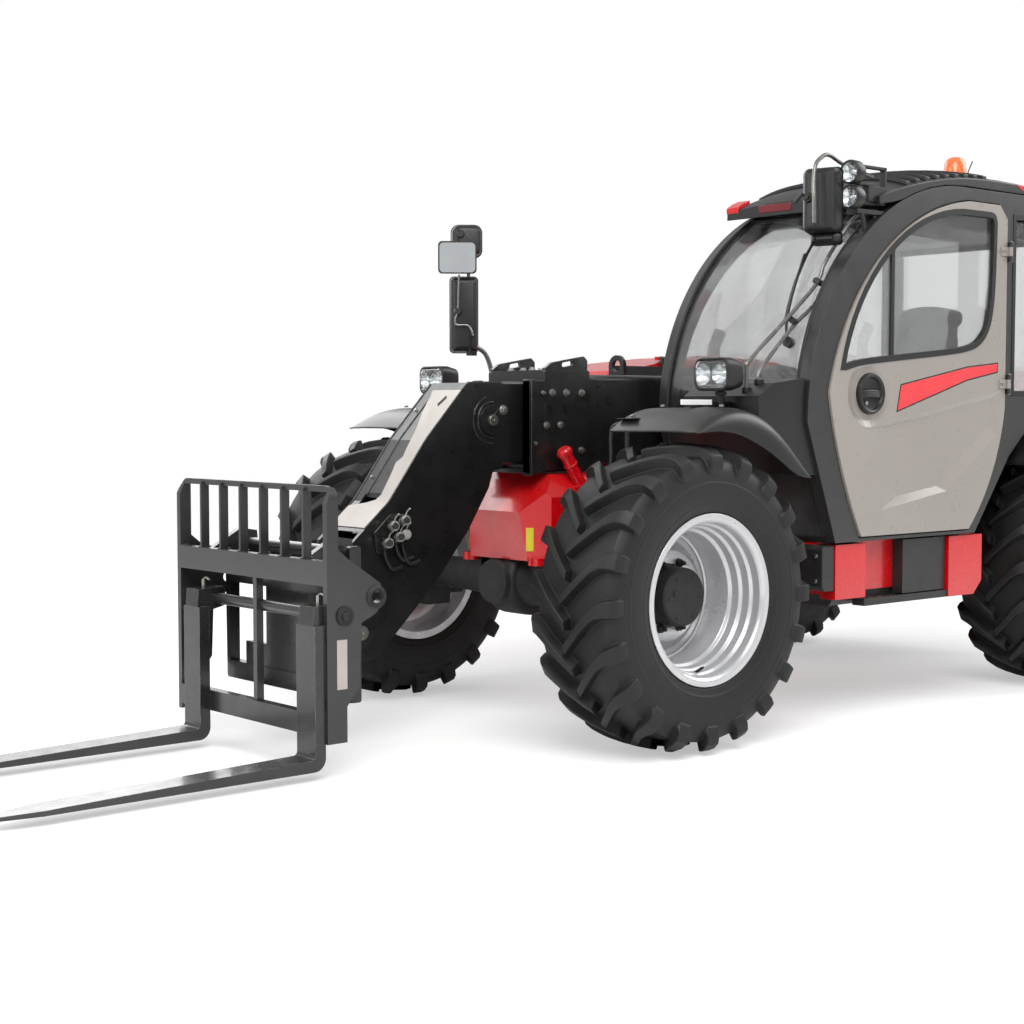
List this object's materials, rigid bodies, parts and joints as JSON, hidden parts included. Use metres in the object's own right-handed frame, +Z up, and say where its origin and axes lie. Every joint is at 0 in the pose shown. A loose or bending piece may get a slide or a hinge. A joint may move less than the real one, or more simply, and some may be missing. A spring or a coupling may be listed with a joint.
{
  "type": "compact telehandler",
  "caption": "Compact telescopic handler with a telescoping boom, pallet forks on a slatted carriage, a side cab, a side engine and large steered wheels",
  "frame": {"origin": "middle of the whole machine on the ground, forks down and boom in", "axes": "+X forward along the forks, +Y to the machine's left (cab side), +Z up"},
  "size_m": [6.001, 2.2832, 2.5498],
  "materials": {
    "tyre_rubber": "matt",
    "silver_paint": "satin",
    "black_paint": "satin",
    "dark_grey_paint": "satin",
    "light_grey_paint": "satin",
    "red_paint": "gloss",
    "cast_black": "matt",
    "cast_grey": "matt",
    "chromed_rod": "polished",
    "tinted_glass": "clear tint",
    "black_plastic": "grained",
    "seat_cloth": "woven",
    "orange_lens": "moulded"
  },
  "bodies": {
    "chassis": {"chassis_frame": "red_paint", "chassis_nose": "red_paint", "chassis_floors": "red_paint", "cross_beams": "red_paint", "counterweight": "cast_grey", "gearbox_and_shafts": "cast_black", "front_axle": "cast_black", "rear_axle": "cast_black", "cab_frame": "dark_grey_paint", "cab_panels": "dark_grey_paint", "cab_glass": "tinted_glass", "cab_roof": "black_plastic", "dashboard": "black_plastic", "steering_wheel": "black_plastic", "seat_base": "dark_grey_paint", "seat_cushion": "seat_cloth", "seat_backrest": "seat_cloth", "side_boxes": "red_paint", "cab_step": "black_plastic", "fuel_tank": "red_paint", "front_fenders": "black_plastic", "rear_fenders": "black_plastic", "front_cowl": "dark_grey_paint", "engine_bay": "dark_grey_paint", "engine_block": "cast_black", "exhaust": "dark_grey_paint", "lamps": "black_plastic", "mirrors": "black_plastic", "beacon": "orange_lens"},
    "boom": {"outer_boom": "black_paint", "boom_collar": "black_paint"},
    "boom_extension": {"inner_boom": "black_paint", "boom_head": "black_paint"},
    "carriage": {"tool_carrier": "dark_grey_paint", "fork_carriage": "dark_grey_paint", "forks": "dark_grey_paint"},
    "lift_ram_barrel": {"lift_barrel": "black_paint"},
    "lift_ram_rod": {"lift_rod": "chromed_rod"},
    "tilt_ram_barrel": {"tilt_barrel": "black_paint"},
    "tilt_ram_rod": {"tilt_rod": "chromed_rod"},
    "cab_door": {"door_panel": "light_grey_paint", "door_glass": "tinted_glass", "door_handle": "black_plastic"},
    "hood": {"engine_hood": "red_paint"},
    "front_tie_rod": {"front_steering_rod": "chromed_rod"},
    "rear_tie_rod": {"rear_steering_rod": "chromed_rod"},
    "front_left_hub": {"front_left_knuckle": "cast_black"},
    "front_left_road_wheel": {"front_left_tyre": "tyre_rubber", "front_left_wheel": "silver_paint"},
    "front_right_hub": {"front_right_knuckle": "cast_black"},
    "front_right_road_wheel": {"front_right_tyre": "tyre_rubber", "front_right_wheel": "silver_paint"},
    "rear_left_hub": {"rear_left_knuckle": "cast_black"},
    "rear_left_road_wheel": {"rear_left_tyre": "tyre_rubber", "rear_left_wheel": "silver_paint"},
    "rear_right_hub": {"rear_right_knuckle": "cast_black"},
    "rear_right_road_wheel": {"rear_right_tyre": "tyre_rubber", "rear_right_wheel": "silver_paint"}
  },
  "joints": [
    {"name": "boom_lift", "type": "hinge", "parent": "chassis", "child": "boom", "pos_m": [-2.5705, 0, 1.38], "axis": [0, -1, 0], "range_deg": [0, 65]},
    {"name": "boom_extend", "type": "slide", "parent": "boom", "child": "boom_extension", "axis": [1, 0, 0], "range_m": [0, 2.15]},
    {"name": "carriage_tilt", "type": "hinge", "parent": "boom_extension", "child": "carriage", "pos_m": [1.3195, 0, 0.46], "axis": [0, 1, 0], "range_deg": [-15, 110]},
    {"name": "lift_ram_turn", "type": "hinge", "parent": "chassis", "child": "lift_ram_barrel", "pos_m": [-2.0405, 0, 0.8], "axis": [0, -1, 0], "range_deg": [0, 66]},
    {"name": "lift_ram_stroke", "type": "slide", "parent": "lift_ram_barrel", "child": "lift_ram_rod", "axis": [0.9906, 0, 0.1371], "range_m": [0, 0.85]},
    {"name": "tilt_ram_turn", "type": "hinge", "parent": "boom_extension", "child": "tilt_ram_barrel", "pos_m": [0.6495, 0, 1.29], "axis": [0, 1, 0], "range_deg": [-1.2, 8]},
    {"name": "tilt_ram_stroke", "type": "slide", "parent": "tilt_ram_barrel", "child": "tilt_ram_rod", "axis": [0.7833, 0, -0.6216], "range_m": [-0.065, 0.445]},
    {"name": "front_left_steer", "type": "hinge", "parent": "chassis", "child": "front_left_hub", "pos_m": [0.3795, 0.735, 0.603], "axis": [0, 0, 1], "range_deg": [-30, 30]},
    {"name": "front_right_steer", "type": "hinge", "parent": "chassis", "child": "front_right_hub", "pos_m": [0.3795, -0.735, 0.603], "axis": [0, 0, 1], "range_deg": [-30, 30]},
    {"name": "front_tie_rod_slide", "type": "slide", "parent": "chassis", "child": "front_tie_rod", "axis": [0, 1, 0], "range_m": [-0.1005, 0.1005]},
    {"name": "front_left_wheel_spin", "type": "hinge", "parent": "front_left_hub", "child": "front_left_road_wheel", "pos_m": [0.3795, 0.915, 0.603], "axis": [0, 1, 0], "continuous": true},
    {"name": "front_right_wheel_spin", "type": "hinge", "parent": "front_right_hub", "child": "front_right_road_wheel", "pos_m": [0.3795, -0.915, 0.603], "axis": [0, 1, 0], "continuous": true},
    {"name": "rear_left_steer", "type": "hinge", "parent": "chassis", "child": "rear_left_hub", "pos_m": [-2.3105, 0.735, 0.603], "axis": [0, 0, 1], "range_deg": [-30, 30]},
    {"name": "rear_right_steer", "type": "hinge", "parent": "chassis", "child": "rear_right_hub", "pos_m": [-2.3105, -0.735, 0.603], "axis": [0, 0, 1], "range_deg": [-30, 30]},
    {"name": "rear_tie_rod_slide", "type": "slide", "parent": "chassis", "child": "rear_tie_rod", "axis": [0, 1, 0], "range_m": [-0.1005, 0.1005]},
    {"name": "rear_left_wheel_spin", "type": "hinge", "parent": "rear_left_hub", "child": "rear_left_road_wheel", "pos_m": [-2.3105, 0.915, 0.603], "axis": [0, 1, 0], "continuous": true},
    {"name": "rear_right_wheel_spin", "type": "hinge", "parent": "rear_right_hub", "child": "rear_right_road_wheel", "pos_m": [-2.3105, -0.915, 0.603], "axis": [0, 1, 0], "continuous": true},
    {"name": "door_hinge", "type": "hinge", "parent": "chassis", "child": "cab_door", "pos_m": [-1.6205, 1.085, 1.3], "axis": [0, 0, 1], "range_deg": [0, 90]},
    {"name": "hood_hinge", "type": "hinge", "parent": "chassis", "child": "hood", "pos_m": [-1.0605, -0.259, 1.58], "axis": [-1, 0, 0], "range_deg": [0, 60]}
  ],
  "couplings": [
    {"joint": "lift_ram_turn", "follows": "boom_lift", "ratio": 1.0134},
    {"joint": "lift_ram_stroke", "follows": "boom_lift", "m_per_rad": 0.74395},
    {"joint": "tilt_ram_turn", "follows": "carriage_tilt", "ratio": 0.066518},
    {"joint": "tilt_ram_stroke", "follows": "carriage_tilt", "m_per_rad": 0.22783},
    {"joint": "front_right_steer", "follows": "front_left_steer", "ratio": 1},
    {"joint": "front_tie_rod_slide", "follows": "front_left_steer", "m_per_rad": -0.19099},
    {"joint": "rear_right_steer", "follows": "rear_left_steer", "ratio": 1},
    {"joint": "rear_tie_rod_slide", "follows": "rear_left_steer", "m_per_rad": 0.19099}
  ]
}
